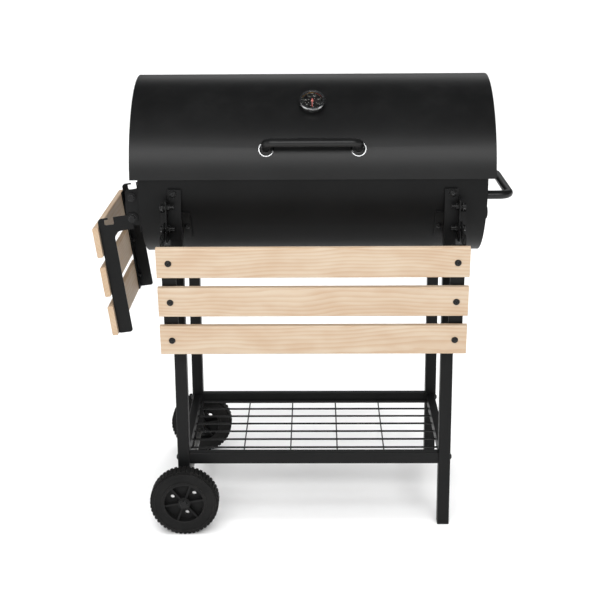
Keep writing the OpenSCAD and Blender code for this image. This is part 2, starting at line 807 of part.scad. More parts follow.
module thermo_bezel() place() color(steel) at_thermo() translate([0, 0, thermo_base])
    rotate_extrude() polygon([[case_r, 4], [bezel_r, 4], [bezel_r, thermo_h - 3.5],
        [bezel_r - 1.4, thermo_h - 0.6], [case_r - 1.6, thermo_h], [case_r - 4, thermo_h - 1],
        [case_r - 4, thermo_h - 1.7], [case_r - 1.2, thermo_h - 1.7], [case_r - 1.2, thermo_h - 2],
        [case_r, thermo_h - 2]]);

module thermo_dial() place() color(dark) at_thermo() translate([0, 0, thermo_base + 2]) difference() {
    union() {
        cylinder(r = 6, h = 4);
        translate([0, 0, 4]) cylinder(r = case_r - 1.4, h = 0.8);
    }
    translate([0, 0, -1]) cylinder(r = 1.2 + run, h = 8, $fn = 48);
    translate([0, 0, -1]) cylinder(r = 3, h = 4, $fn = 48);
}

module thermo_lens() place() color([0.85, 0.9, 0.92, 0.35]) at_thermo() translate([0, 0, lens_z])
    cylinder(r = case_r - 1.25, h = 1.5);

// The stem goes through the lid into the cooking space, and a nut clamps it from inside
module thermo_stem() place() color(steel) at_thermo() {
    difference() {
        translate([0, 0, -2]) cylinder(r = 11, h = thermo_base + 2);
        lid_cut(0);
    }
    translate([0, 0, -8]) cylinder(r = 5, h = 8 + thermo_base);
    translate([0, 0, -60]) cylinder(r = 3, h = 60 + thermo_base + 2, $fn = 48);
    translate([0, 0, -62]) cylinder(r1 = 1.5, r2 = 3, h = 2, $fn = 48);
    translate([0, 0, -sheet - 0.2 - 4]) cylinder(r = 9, h = 4, $fn = 6);
}

module thermo_needle() place() color([0.85, 0.15, 0.1]) at_thermo() {
    translate([0, 0, needle_z]) {
        cylinder(r = 2.4, h = 1.1, $fn = 48);
        linear_extrude(0.5) polygon([[-1.1, 6], [1.1, 6], [0.9, -6], [0.25, -19.5], [-0.25, -19.5],
            [-0.9, -6]]);
    }
    translate([0, 0, needle_z - 4]) cylinder(r = 1.2, h = 4.5, $fn = 48);
}

// ---- Folding tables ----

// A table arm in its own outline: pivot at the origin, outward to the left, down along the strip
module arm_2d() difference() {
    union() {
        circle(lobe_r);
        translate([-(arm_out - 8), -22]) square([arm_out - 8, 30]);
        translate([-arm_out, -14]) square([arm_out, 14]);
        translate([-(arm_out - 8), 0]) circle(8, $fn = 48);
        translate([-(arm_in + arm_out) / 2, -arm_end / 2 - 3]) rounded(arm_out - arm_in, arm_end - 6, 5);
        translate([-arm_in - 2, -22 - arm_fillet]) difference() {
            square(arm_fillet + 2);
            translate([arm_fillet + 2, 0]) circle(arm_fillet, $fn = 48);
        }
    }
    circle(bolt_r + run);
    translate([hook_slot[0], hook_slot_z[0] + 3]) square([slot_w, hook_slot_z[1] - hook_slot_z[0] - 3]);
    translate([hook_slot[0] + 3, hook_slot_z[0]]) square([slot_w - 6, 4]);
    for (x = [hook_slot[0] + 3, hook_slot[1] - 3]) translate([x, hook_slot_z[0] + 3])
        circle(3, $fn = 32);
    translate([hook_slot[1] - hook_mouth, 0]) square([hook_mouth, lobe_r]);
}

// The flange that carries the slats, and its bolt holes along the strip
function slat_centre(i) = -(first_slat + slat_h / 2 + i * (slat_h + slat_gap));
module slat_centres() for (i = [0:2]) translate([0, slat_centre(i), 0]) children();

// The hanging frame of each table: local X inward, local Y up, local Z along the pivot
module front_frame() translate([0, front_pivot[0], front_pivot[1]])
    rotate([90, 0, 90]) rotate([0, 0, hang_tilt]) children();
module side_frame() translate([side_pivot[0], 0, side_pivot[1]])
    rotate([90, 0, 0]) rotate([0, 0, hang_tilt]) children();

module arm(at) difference() {
    union() {
        translate([0, 0, at]) linear_extrude(arm_t) arm_2d();
        translate([-arm_out, -arm_end + 1, at + arm_t - flange_w])
            cube([plate_t, arm_end - first_slat, flange_w]);
    }
    slat_centres() translate([-arm_out, 0, at + arm_t - slat_bolt_in]) rotate([0, 90, 0]) drill(h = 12);
}

module arm_pair(at) for (m = [0, 1]) mirror([0, 0, m]) arm(at);

module slat(length) translate([-arm_out - slat_t / 2, 0, -length / 2]) linear_extrude(length)
    rounded(slat_t, slat_h, slat_round);

module drilled_slat(i, length, at) translate([0, slat_centre(i), 0]) difference() {
    slat(length);
    for (m = [0, 1]) mirror([0, 0, m]) translate([-arm_out, 0, at + arm_t - slat_bolt_in])
        rotate([0, 90, 0]) drill(h = 3 * slat_t);
}

module slat_bolts(at) for (m = [0, 1]) mirror([0, 0, m]) slat_centres()
    translate([-arm_out - slat_t, 0, at + arm_t - slat_bolt_in]) rotate([0, -90, 0])
        bolt(slat_t + plate_t, hr = 6.8, hh = 3.2);

module front_arms() place() color(black) front_frame() arm_pair(arm_x);
module front_slat_upper() place() color(pine) front_frame() drilled_slat(0, front_slat_l, arm_x);
module front_slat_middle() place() color(pine) front_frame() drilled_slat(1, front_slat_l, arm_x);
module front_slat_lower() place() color(pine) front_frame() drilled_slat(2, front_slat_l, arm_x);
module front_slat_bolts() place() color(steel) front_frame() slat_bolts(arm_x);
module side_arms() place() color(black) side_frame() arm_pair(arm_y);
module side_slat_upper() place() color(pine) side_frame() drilled_slat(0, side_slat_l, arm_y);
module side_slat_middle() place() color(pine) side_frame() drilled_slat(1, side_slat_l, arm_y);
module side_slat_lower() place() color(pine) side_frame() drilled_slat(2, side_slat_l, arm_y);
module side_slat_bolts() place() color(steel) side_frame() slat_bolts(arm_y);

bowl_trough();
bowl_end_left();
bowl_end_right();
grate_ledges();
charcoal_grate();
charcoal_supports();
leg_front_left();
leg_rear_left();
leg_front_right();
leg_rear_right();
foot_caps();
leg_saddles();
frame_screws();
shelf_rail_front();
shelf_rail_rear();
shelf_side_rails();
shelf_wire_grid();
rail_bolts();
axle();
axle_spacers();
axle_nuts();
side_handle();
side_handle_bolts();
front_table_brackets();
side_table_brackets();
table_bolts();
hinge_lower_leaves();
hinge_pins();
damper_pin();
lid_shell();
lid_end_left();
lid_end_right();
lid_handle();
handle_washers();
lid_screws();
hinge_upper_leaves();
thermo_case();
thermo_bezel();
thermo_dial();
thermo_lens();
thermo_stem();
thermo_needle();
damper_disc();
damper_knob();
front_slat_upper();
front_slat_middle();
front_slat_lower();
front_arms();
front_slat_bolts();
side_slat_upper();
side_slat_middle();
side_slat_lower();
side_arms();
side_slat_bolts();
front_tyre();
front_hub();
rear_tyre();
rear_hub();
cooking_grate_left();
cooking_grate_right();
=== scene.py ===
"""Looks of the barrel charcoal grill: materials, small surface pieces, lights and camera.

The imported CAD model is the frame. Everything here is in metres, X along the drum, -Y to the
front and Z up, and every place is worked out from the frame's own nodes and joints.
"""
import json
import math

import bmesh
import bpy
from mathutils import Matrix, Vector


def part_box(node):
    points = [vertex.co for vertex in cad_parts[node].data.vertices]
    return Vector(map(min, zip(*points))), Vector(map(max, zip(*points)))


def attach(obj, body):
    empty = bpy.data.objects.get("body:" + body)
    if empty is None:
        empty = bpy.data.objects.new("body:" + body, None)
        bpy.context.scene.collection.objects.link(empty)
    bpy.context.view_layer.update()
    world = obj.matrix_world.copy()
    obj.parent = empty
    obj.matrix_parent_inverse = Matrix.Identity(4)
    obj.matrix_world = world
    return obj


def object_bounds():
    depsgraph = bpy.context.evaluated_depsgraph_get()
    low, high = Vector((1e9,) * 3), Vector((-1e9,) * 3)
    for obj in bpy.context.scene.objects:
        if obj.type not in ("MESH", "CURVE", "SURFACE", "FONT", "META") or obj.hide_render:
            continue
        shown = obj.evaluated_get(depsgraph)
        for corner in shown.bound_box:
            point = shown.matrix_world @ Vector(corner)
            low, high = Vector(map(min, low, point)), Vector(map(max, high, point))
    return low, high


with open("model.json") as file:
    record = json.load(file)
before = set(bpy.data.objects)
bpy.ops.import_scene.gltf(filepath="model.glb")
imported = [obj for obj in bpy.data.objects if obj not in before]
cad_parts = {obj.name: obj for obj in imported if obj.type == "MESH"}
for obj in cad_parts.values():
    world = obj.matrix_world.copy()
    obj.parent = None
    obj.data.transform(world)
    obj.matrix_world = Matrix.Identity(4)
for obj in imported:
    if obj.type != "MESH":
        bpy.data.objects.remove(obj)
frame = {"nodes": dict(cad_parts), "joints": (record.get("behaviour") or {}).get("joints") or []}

CAD_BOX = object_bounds()
NODES = frame["nodes"]
JOINTS = {joint["name"]: joint for joint in frame["joints"]}
MM = 0.001


# ---- Node-based materials ----

class Shader:
    """A material's node tree, with one short method for each kind of node used here."""

    def __init__(self, name):
        self.material = bpy.data.materials.new(name)
        self.material.use_nodes = True
        self.tree = self.material.node_tree
        self.bsdf = self.tree.nodes["Principled BSDF"]
        self.place = self.add("ShaderNodeTexCoord").outputs["Object"]

    def add(self, kind):
        return self.tree.nodes.new(kind)

    def link(self, source, socket):
        self.tree.links.new(source, socket)

    def put(self, value, socket):
        if isinstance(value, bpy.types.NodeSocket):
            self.link(value, socket)
        else:
            socket.default_value = value

    def stretch(self, scale, offset=(0, 0, 0), source=None):
        node = self.add("ShaderNodeMapping")
        node.inputs["Location"].default_value = offset
        node.inputs["Scale"].default_value = scale
        self.link(source or self.place, node.inputs["Vector"])
        return node.outputs["Vector"]

    def noise(self, scale, detail=4.0, rough=0.55, vector=None):
        node = self.add("ShaderNodeTexNoise")
        node.inputs["Scale"].default_value = scale
        node.inputs["Detail"].default_value = detail
        node.inputs["Roughness"].default_value = rough
        self.link(vector or self.place, node.inputs["Vector"])
        return node.outputs["Fac"]

    def cells(self, scale, vector=None):
        node = self.add("ShaderNodeTexVoronoi")
        node.inputs["Scale"].default_value = scale
        self.link(vector or self.place, node.inputs["Vector"])
        return node.outputs["Distance"]

    def math(self, kind, a, b=0.0):
        node = self.add("ShaderNodeMath")
        node.operation = kind
        self.put(a, node.inputs[0])
        self.put(b, node.inputs[1])
        return node.outputs[0]

    def vector_math(self, kind, a, b=None):
        node = self.add("ShaderNodeVectorMath")
        node.operation = kind
        self.put(a, node.inputs[0])
        if b is not None:
            self.put(b, node.inputs[1])
        return node

    def band(self, value, low, high, to_low=0.0, to_high=1.0):
        node = self.add("ShaderNodeMapRange")
        node.interpolation_type = "SMOOTHSTEP"
        self.put(value, node.inputs["Value"])
        for name, number in (("From Min", low), ("From Max", high), ("To Min", to_low), ("To Max", to_high)):
            node.inputs[name].default_value = number
        return node.outputs["Result"]

    def mix(self, amount, a, b):
        node = self.add("ShaderNodeMix")
        node.data_type = "RGBA"
        self.put(amount, node.inputs[0])
        self.put(a, node.inputs[6])
        self.put(b, node.inputs[7])
        return node.outputs[2]

    def split(self, vector=None):
        node = self.add("ShaderNodeSeparateXYZ")
        self.link(vector or self.place, node.inputs[0])
        return node.outputs

    def edges(self, radius, low, high):
        """1 along outside edges and 0 on flat faces, from how far a rounded normal leans from the true one."""
        rounded = self.add("ShaderNodeBevel")
        rounded.samples = 4
        rounded.inputs["Radius"].default_value = radius
        true = self.add("ShaderNodeNewGeometry").outputs["True Normal"]
        lean = self.vector_math("DOT_PRODUCT", rounded.outputs["Normal"], true).outputs["Value"]
        return self.band(self.math("SUBTRACT", 1.0, lean), low, high)

    def facing_up(self):
        normal = self.add("ShaderNodeNewGeometry").outputs["Normal"]
        return self.band(self.split(normal)[2], 0.3, 1.0)

    def bumps(self, *layers, rounding=0.0):
        """Stacks (height, strength, distance) layers of bump on a slightly rounded normal."""
        normal = None
        if rounding:
            rounded = self.add("ShaderNodeBevel")
            rounded.samples = 4
            rounded.inputs["Radius"].default_value = rounding
            normal = rounded.outputs["Normal"]
        for height, strength, distance in layers:
            node = self.add("ShaderNodeBump")
            node.inputs["Strength"].default_value = strength
            node.inputs["Distance"].default_value = distance
            self.link(height, node.inputs["Height"])
            if normal is not None:
                self.link(normal, node.inputs["Normal"])
            normal = node.outputs["Normal"]
        self.link(normal, self.bsdf.inputs["Normal"])

    def finish(self, colour, rough, **constants):
        self.put(colour, self.bsdf.inputs["Base Color"])
        self.put(rough, self.bsdf.inputs["Roughness"])
        for name, value in constants.items():
            self.bsdf.inputs[name.replace("_", " ")].default_value = value
        return self.material


def grey(level, tint=0.0):
    return (level, level * (1 + tint / 2), level * (1 + tint), 1.0)


def powder_coat(name, dark, light, rough=0.43, wear=0.35, shine=0.15):
    """Satin black powder coat: a fine orange peel, cloudy sheen, specks, dust on top and rubbed edges."""
    s = Shader(name)
    cloud = s.noise(7.0, detail=5.0)
    peel = s.noise(420.0, detail=2.0)
    grit = s.noise(2600.0, detail=2.0)
    speck = s.band(s.cells(700.0), 0.05, 0.13, 1.0, 0.0)
    rubbed = s.math("MULTIPLY", s.edges(0.9 * MM, 0.03, 0.25), s.band(s.noise(55.0), 0.45, 0.75))
    dust = s.math("MULTIPLY", s.facing_up(), s.band(s.noise(26.0, detail=8.0, rough=0.7), 0.4, 0.8))
    colour = s.mix(s.band(cloud, 0.3, 0.7), grey(dark, 0.04), grey(light, 0.05))
    colour = s.mix(s.math("MULTIPLY", speck, 0.12), colour, grey(0.05))
    colour = s.mix(s.math("MULTIPLY", dust, 0.012), colour, grey(0.30, -0.06))
    colour = s.mix(s.math("MULTIPLY", rubbed, wear), colour, grey(0.11, 0.03))
    gloss = s.band(cloud, 0.25, 0.75, rough - 0.01, rough + 0.015)
    gloss = s.math("ADD", gloss, s.math("MULTIPLY", s.band(grit, 0.35, 0.65), 0.05))
    s.bumps((peel, 0.10, 0.25 * MM), (grit, 0.16, 0.05 * MM), rounding=0.7 * MM)
    return s.finish(colour, gloss, Specular_IOR_Level=shine)


def enamelled_rod(name):
    """Glossier black on rod and wire, thin in places and a little lumpy at the welds."""
    s = Shader(name)
    run = s.noise(90.0, detail=3.0)
    chip = s.band(s.noise(240.0, detail=4.0), 0.66, 0.72)
    colour = s.mix(s.band(run, 0.3, 0.7), grey(0.003), grey(0.005, 0.05))
    colour = s.mix(s.math("MULTIPLY", chip, 0.35), colour, (0.075, 0.062, 0.055, 1.0))
    gloss = s.band(run, 0.3, 0.7, 0.28, 0.42)
    s.bumps((run, 0.25, 0.3 * MM), (s.noise(1500.0), 0.1, 0.05 * MM))
    return s.finish(colour, gloss, Specular_IOR_Level=0.28)


def black_bolt(name):
    """Black oxide with bright rubbed corners and fine turning marks."""
    s = Shader(name)
    turned = s.noise(60.0, detail=6.0, vector=s.stretch((40, 40, 900)))
    rubbed = s.math("MULTIPLY", s.edges(0.7 * MM, 0.04, 0.3), s.band(s.noise(300.0), 0.35, 0.6))
    colour = s.mix(s.band(turned, 0.35, 0.65), grey(0.003), grey(0.006, 0.03))
    colour = s.mix(s.math("MULTIPLY", rubbed, 0.6), colour, grey(0.24, 0.03))
    gloss = s.band(turned, 0.3, 0.7, 0.27, 0.4)
    s.bumps((turned, 0.14, 0.1 * MM), (s.noise(1800.0), 0.1, 0.05 * MM), rounding=0.4 * MM)
    return s.finish(colour, gloss, Specular_IOR_Level=0.22)


def zinc_plate(name):
    """Bright zinc plating: cloudy, faintly yellow and blue, drawn along its length."""
    s = Shader(name)
    drawn = s.noise(55.0, detail=8.0, vector=s.stretch((60, 1.5, 60)))
    bloom = s.noise(120.0, detail=5.0)
    colour = s.mix(s.band(bloom, 0.3, 0.7), (0.52, 0.52, 0.54, 1.0), (0.68, 0.66, 0.61, 1.0))
    gloss = s.band(drawn, 0.3, 0.7, 0.24, 0.42)
    s.bumps((drawn, 0.18, 0.08 * MM), (bloom, 0.08, 0.05 * MM), rounding=0.4 * MM)
    return s.finish(colour, gloss, Metallic=1.0)


def chrome(name, level, rough):
    """Polished trim with hairline scratches and a little smear."""
    s = Shader(name)
    hair = s.noise(70.0, detail=9.0, rough=0.75, vector=s.stretch((14, 1, 6)))
    smear = s.noise(160.0, detail=4.0)
    colour = s.mix(s.band(smear, 0.3, 0.7), grey(level * 0.9, 0.02), grey(level, 0.01))
    gloss = s.math("ADD", s.band(hair, 0.45, 0.7, rough, rough + 0.09), s.band(smear, 0.4, 0.8, 0.0, 0.06))
    s.bumps((hair, 0.04, 0.02 * MM), rounding=0.35 * MM)
    return s.finish(colour, gloss, Metallic=1.0)


def tyre_rubber(name):
    """Dull moulded tyre with a sandy skin, mould lines and pale scuffs on the lugs."""
    s = Shader(name)
    skin = s.noise(1300.0, detail=3.0)
    bloom = s.noise(18.0, detail=6.0)
    scuff = s.math("MULTIPLY", s.edges(1.2 * MM, 0.02, 0.2), s.band(s.noise(150.0), 0.35, 0.7))
    colour = s.mix(s.band(bloom, 0.3, 0.7), grey(0.006), grey(0.010, -0.05))
    colour = s.mix(s.math("MULTIPLY", scuff, 0.5), colour, (0.085, 0.08, 0.074, 1.0))
    gloss = s.band(skin, 0.3, 0.7, 0.6, 0.78)
    s.bumps((skin, 0.22, 0.12 * MM), (s.noise(260.0), 0.12, 0.2 * MM), rounding=0.6 * MM)
    return s.finish(colour, gloss, Specular_IOR_Level=0.14)


def moulded_plastic(name):
    """Black moulded plastic with a spark-eroded grain."""
    s = Shader(name)
    grain = s.cells(1500.0)
    cloud = s.noise(25.0)
    rubbed = s.edges(0.8 * MM, 0.03, 0.3)
    colour = s.mix(s.band(cloud, 0.3, 0.7), grey(0.006), grey(0.010))
    colour = s.mix(s.math("MULTIPLY", rubbed, 0.25), colour, grey(0.07))
    gloss = s.band(cloud, 0.3, 0.7, 0.42, 0.52)
    s.bumps((grain, 0.18, 0.08 * MM), rounding=0.5 * MM)
    return s.finish(colour, gloss, Specular_IOR_Level=0.12)


def pine(name, node, along, pith, seed):
    """Sanded pine sawn from a log whose pith lies beside the board: rings, fibres, pores and end grain.

    along is the grain's axis, 0 for X and 1 for Y. pith is its place in metres, across and above the board.
    """
    s = Shader(name)
    low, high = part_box(node)
    middle = (Vector(low) + Vector(high)) / 2
    local = s.vector_math("SUBTRACT", s.place, tuple(middle)).outputs[0]
    x, y, z = s.split(local)
    run, across = (x, y) if along == 0 else (y, x)
    # A slow wander of the rings along the board makes the long arches of plain-sawn pine.
    slow = [0.0, 0.0, 3.0]
    slow[along] = 2.1
    slow[1 - along] = 3.0
    wander = s.noise(1.0, detail=2.0, vector=s.stretch(tuple(slow), (seed, seed * 1.7, seed * 0.6), local))
    lean = s.math("MULTIPLY", s.math("SUBTRACT", wander, 0.5), 0.085)
    ripple = [60.0, 60.0, 60.0]
    ripple[along] = 9.0
    waver = s.noise(1.0, detail=3.0, vector=s.stretch(tuple(ripple), (seed * 3.1, seed, seed), local))
    a = s.math("SUBTRACT", across, pith[0])
    b = s.math("SUBTRACT", s.math("ADD", z, lean), pith[1])
    square = s.math("ADD", s.math("MULTIPLY", a, a), s.math("MULTIPLY", b, b))
    radius = s.math("ADD", s.math("SQRT", square), s.math("MULTIPLY", waver, 0.0045))
    ring = s.math("FRACT", s.math("MULTIPLY", radius, 1 / (6.2 * MM)))
    late = s.math("MULTIPLY", s.band(ring, 0.25, 0.86), s.band(ring, 0.90, 0.99, 1.0, 0.0))
    patch = s.band(s.noise(1.0, detail=2.0, vector=s.stretch((9, 9, 24), (seed, 0, seed), local)), 0.3, 0.72)
    fibres = [520.0, 520.0, 520.0]
    fibres[along] = 9.0
    fibre = s.noise(1.0, detail=5.0, rough=0.65, vector=s.stretch(tuple(fibres), (seed, seed, 0), local))
    pores = [900.0, 900.0, 900.0]
    pores[along] = 55.0
    pore = s.band(s.cells(1.0, s.stretch(tuple(pores), (0, seed, 0), local)), 0.03, 0.16, 1.0, 0.0)
    colour = s.mix(patch, (0.462, 0.376, 0.283, 1.0), (0.414, 0.310, 0.218, 1.0))
    colour = s.mix(s.math("MULTIPLY", late, s.band(patch, 0.0, 1.0, 0.40, 0.66)), colour, (0.37, 0.245, 0.15, 1.0))
    colour = s.mix(s.band(fibre, 0.35, 0.75, 0.0, 0.22), colour, (0.45, 0.31, 0.195, 1.0))
    colour = s.mix(s.math("MULTIPLY", pore, 0.10), colour, (0.26, 0.16, 0.087, 1.0))
    normal = s.split(s.add("ShaderNodeNewGeometry").outputs["Normal"])[along]
    end = s.band(s.math("ABSOLUTE", normal), 0.6, 0.9)
    colour = s.mix(s.math("MULTIPLY", end, 0.38), colour, (0.36, 0.24, 0.137, 1.0))
    gloss = s.band(fibre, 0.3, 0.7, 0.50, 0.62)
    s.bumps((late, 0.10, 0.25 * MM), (fibre, 0.14, 0.12 * MM), rounding=1.2 * MM)
    return s.finish(colour, gloss, Specular_IOR_Level=0.38)


def dial_paint(name, level, tint):
    """Printed matt paint: a level and a tint, with a fine speckle."""
    s = Shader(name)
    speck = s.noise(3000.0)
    full = tuple(level * part for part in tint) + (1.0,)
    thin = tuple(level * part * 0.8 for part in tint) + (1.0,)
    s.bumps((speck, 0.08, 0.02 * MM))
    return s.finish(s.mix(s.band(speck, 0.3, 0.7), thin, full), s.band(speck, 0.3, 0.7, 0.45, 0.55),
                    Specular_IOR_Level=0.06)


def needle_enamel(name):
    s = Shader(name)
    pool = s.noise(400.0)
    colour = s.mix(s.band(pool, 0.3, 0.7), (0.24, 0.018, 0.012, 1.0), (0.31, 0.027, 0.016, 1.0))
    s.bumps((pool, 0.1, 0.03 * MM))
    return s.finish(colour, s.band(pool, 0.3, 0.7, 0.25, 0.35), Coat_Weight=0.3, Coat_Roughness=0.1)


def clear_glass(name):
    """The thermometer's window: clear, with a trace of smear that shows only in the gloss."""
    s = Shader(name)
    smear = s.noise(220.0)
    colour = s.mix(s.band(smear, 0.3, 0.7), (0.95, 0.97, 0.97, 1.0), (0.99, 1.0, 1.0, 1.0))
    s.bumps((smear, 0.02, 0.02 * MM))
    return s.finish(colour, s.band(smear, 0.3, 0.8, 0.02, 0.06), Transmission_Weight=1.0, IOR=1.06,
                    Specular_IOR_Level=0.5)


LID_COAT = powder_coat("lid_coat", dark=0.004, light=0.0052, rough=0.38, shine=0.27)
BOWL_COAT = powder_coat("bowl_coat", dark=0.004, light=0.0052, shine=0.12)
TUBE_COAT = powder_coat("tube_coat", dark=0.004, light=0.0055, rough=0.40, wear=0.5)
PLATE_COAT = powder_coat("plate_coat", dark=0.0035, light=0.005, rough=0.38, wear=0.55)
GRIP_COAT = powder_coat("grip_coat", dark=0.0045, light=0.006, rough=0.33, wear=0.2, shine=0.3)
ROD = enamelled_rod("enamelled_rod")
BOLT = black_bolt("black_bolt")
ZINC = zinc_plate("zinc_plate")
CASE_CHROME = chrome("case_chrome", level=0.42, rough=0.20)
RING_CHROME = chrome("ring_chrome", level=0.20, rough=0.16)
TYRE = tyre_rubber("tyre_rubber")
PLASTIC = moulded_plastic("moulded_plastic")
DIAL = dial_paint("dial_face", 0.003, (1.0, 1.0, 1.06))
PRINT = dial_paint("dial_print", 0.13, (1.0, 1.0, 0.96))
NEEDLE = needle_enamel("needle_enamel")
GLASS = clear_glass("clear_glass")

FINISHES = {
    LID_COAT: ["lid_shell", "lid_end_left", "lid_end_right"],
    BOWL_COAT: ["bowl_trough", "bowl_end_left", "bowl_end_right"],
    TUBE_COAT: ["leg_front_left", "leg_rear_left", "leg_front_right", "leg_rear_right", "shelf_rail_front",
                "shelf_rail_rear", "shelf_side_rails"],
    PLATE_COAT: ["leg_saddles", "front_table_brackets", "side_table_brackets", "front_arms", "side_arms",
                 "hinge_lower_leaves", "hinge_upper_leaves", "damper_disc"],
    GRIP_COAT: ["side_handle", "lid_handle"],
    ROD: ["grate_ledges", "charcoal_grate", "charcoal_supports", "cooking_grate_left", "cooking_grate_right",
          "shelf_wire_grid"],
    BOLT: ["frame_screws", "rail_bolts", "side_handle_bolts", "table_bolts", "front_slat_bolts",
           "side_slat_bolts", "lid_screws", "damper_pin", "hinge_pins", "axle_nuts"],
    ZINC: ["axle", "thermo_stem"],
    CASE_CHROME: ["thermo_case", "thermo_bezel"],
    RING_CHROME: ["handle_washers"],
    TYRE: ["front_tyre", "rear_tyre"],
    PLASTIC: ["front_hub", "rear_hub", "damper_knob", "foot_caps", "axle_spacers"],
    DIAL: ["thermo_dial"],
    NEEDLE: ["thermo_needle"],
    GLASS: ["thermo_lens"],
}


def dress(node, material):
    mesh = NODES[node].data
    mesh.materials.clear()
    mesh.materials.append(material)
    for face in mesh.polygons:
        face.material_index = 0


for finish_material, names in FINISHES.items():
    for each in names:
        dress(each, finish_material)

# The pith of each board's log, beside and above the board, and a seed for its figure
BOARDS = {
    "front_slat_upper": (0, (0.045, -0.06), 1.3),
    "front_slat_middle": (0, (0.03, 0.05), 4.1),
    "front_slat_lower": (0, (0.05, -0.035), 7.7),
    "side_slat_upper": (1, (0.05, 0.06), 2.2),
    "side_slat_middle": (1, (0.04, -0.05), 5.6),
    "side_slat_lower": (1, (0.03, 0.045), 9.4),
}
for board, (grain_axis, pith_place, board_seed) in BOARDS.items():
    dress(board, pine("pine_" + board, board, grain_axis, pith_place, board_seed))


# ---- Small pieces ----

def new_piece(name, mesh_maker, material, body):
    """A mesh object made by mesh_maker(bm), finished and riding on a body."""
    bm = bmesh.new()
    mesh_maker(bm)
    mesh = bpy.data.meshes.new(name)
    bm.to_mesh(mesh)
    bm.free()
    piece = bpy.data.objects.new(name, mesh)
    bpy.context.scene.collection.objects.link(piece)
    mesh.materials.append(material)
    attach(piece, body)
    return piece


WELD_R = 1.5 * MM
WELD_RIPPLES = 9       # along one bead
WELD_STEPS = 4         # rings for each ripple
WELD_SIDES = 8
WELD_RIPPLE = 0.14     # the part of the radius that swells
WELD_TIP = 0.25        # the part of the radius left at the ends
RAIL_WIDTH = 18 * MM
BEAD_GAP = 3 * MM      # from a bead's end to the rail's edge


def weld_bead(bm, start, end, radius, ripples):
    """A rippled fillet weld: a thick line from start to end that swells once for each ripple."""
    line = end - start
    along = line.normalized()
    side = along.orthogonal().normalized()
    up = along.cross(side)
    rings = []
    steps = ripples * WELD_STEPS
    for i in range(steps + 1):
        swell = 1 - WELD_RIPPLE + WELD_RIPPLE * abs(math.sin(math.pi * i * ripples / steps))
        taper = min(1.0, 3.0 * i / steps + WELD_TIP, 3.0 * (steps - i) / steps + WELD_TIP)
        size = radius * swell * taper
        centre = start + line * (i / steps)
        rings.append([bm.verts.new(centre + (side * math.cos(t) + up * math.sin(t)) * size)
                      for t in (math.tau * k / WELD_SIDES for k in range(WELD_SIDES))])
    for a, b in zip(rings, rings[1:]):
        for k in range(WELD_SIDES):
            bm.faces.new((a[k], a[(k + 1) % WELD_SIDES], b[(k + 1) % WELD_SIDES], b[k]))
    bm.faces.new(list(reversed(rings[0])))
    bm.faces.new(rings[-1])
    for face in bm.faces:
        face.smooth = True


def rail_welds(bm):
    """Beads where the side rails of the shelf meet the legs, down both sides of each joint."""
    low, high = (Vector(c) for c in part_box("shelf_side_rails"))
    for x in (low.x, low.x + RAIL_WIDTH, high.x - RAIL_WIDTH, high.x):
        for y in (low.y, high.y):
            inward = WELD_R * 0.3 * (1 if y == low.y else -1)
            foot = Vector((x, y + inward, low.z + BEAD_GAP))
            head = Vector((x, y + inward, high.z - BEAD_GAP))
            weld_bead(bm, foot, head, WELD_R, WELD_RIPPLES)


new_piece("shelf_weld_beads", rail_welds, TUBE_COAT, "cart")


# The thermometer's own frame: its origin on the lid's surface, Z out of the lid and Y up the dial
needle_joint = JOINTS["thermometer_needle"]
outward = -Vector(needle_joint["axis"]).normalized()
dial_x = Vector((1, 0, 0))
dial_y = outward.cross(dial_x)
dial_axes = Matrix((dial_x, dial_y, outward)).transposed().to_4x4()
DIAL_FRAME = Matrix.Translation(Vector(needle_joint["pos_m"])) @ dial_axes
DIAL_FACE = 10.8 * MM
PRINT_T = 0.12 * MM
SCALE_R = 21.0 * MM
SCALE_SWEEP = 300
SCALE_STEP = 10
NUMBER_STEP = 50
NUMBER_R = 14.0 * MM
NUMBER_H = 4.4 * MM
TICK_MAJOR = 4.0 * MM
TICK_MINOR = 2.2 * MM
TICK_MAJOR_HALF = 1.3  # half a tick's width, in degrees
TICK_MINOR_HALF = 0.7
ZONE_IN = SCALE_R + 0.3 * MM
ZONE_OUT = SCALE_R + 1.4 * MM


def on_dial(degrees, radius, height=0.0):
    """A point of the dial at an angle clockwise from the bottom, where the cold needle points."""
    t = math.radians(degrees)
    return Vector((-math.sin(t) * radius, -math.cos(t) * radius, DIAL_FACE + height))


def plate(bm, corners):
    """A thin printed plate over four points of the dial."""
    low = [bm.verts.new(DIAL_FRAME @ c) for c in corners]
    high = [bm.verts.new(DIAL_FRAME @ (c + Vector((0, 0, PRINT_T)))) for c in corners]
    bm.faces.new(high)
    bm.faces.new(list(reversed(low)))
    for k in range(4):
        bm.faces.new((low[k], low[(k + 1) % 4], high[(k + 1) % 4], high[k]))


def scale_ticks(bm):
    for degrees in range(0, SCALE_SWEEP + 1, SCALE_STEP):
        major = degrees % NUMBER_STEP == 0
        half = TICK_MAJOR_HALF if major else TICK_MINOR_HALF
        inner = SCALE_R - (TICK_MAJOR if major else TICK_MINOR)
        plate(bm, [on_dial(degrees - half, SCALE_R), on_dial(degrees + half, SCALE_R),
                   on_dial(degrees + half, inner), on_dial(degrees - half, inner)])


def zone(start, end, step=5):
    """A coloured arc of the scale from start to end, in degrees."""
    def make(bm):
        for degrees in range(start, end, step):
            plate(bm, [on_dial(degrees, ZONE_OUT), on_dial(degrees + step, ZONE_OUT),
                       on_dial(degrees + step, ZONE_IN), on_dial(degrees, ZONE_IN)])
    return make


